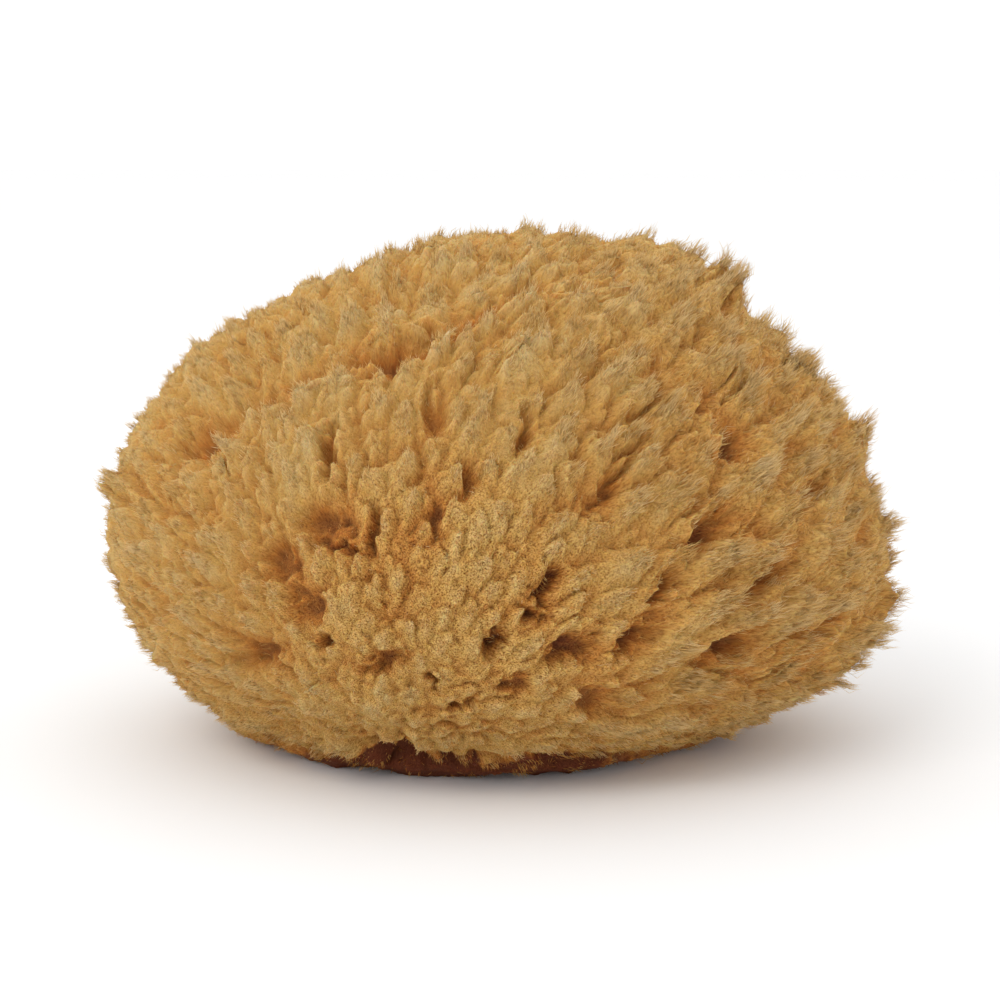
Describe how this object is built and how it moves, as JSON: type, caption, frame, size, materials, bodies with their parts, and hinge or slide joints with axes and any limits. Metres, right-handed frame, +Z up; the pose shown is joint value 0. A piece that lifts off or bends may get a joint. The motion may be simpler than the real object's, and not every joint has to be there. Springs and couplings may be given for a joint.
{
  "type": "sea sponge",
  "caption": "Natural wool sponge: an irregular rounded mass covered in soft frayed tufts, with small water holes, cut off flat underneath where it grew.",
  "frame": {"origin": "under the middle of the sponge, on the flat cut that it rests on", "axes": "+X along the sponge's width, to the right as seen from the front; -Y towards the front; +Z up"},
  "size_m": [0.1518, 0.1278, 0.0965],
  "materials": {
    "spongin": "matt, fibrous, golden tan with pale tuft tips and reddish-brown hollows"
  },
  "bodies": {
    "root": {"sponge": "spongin"}
  },
  "joints": []
}
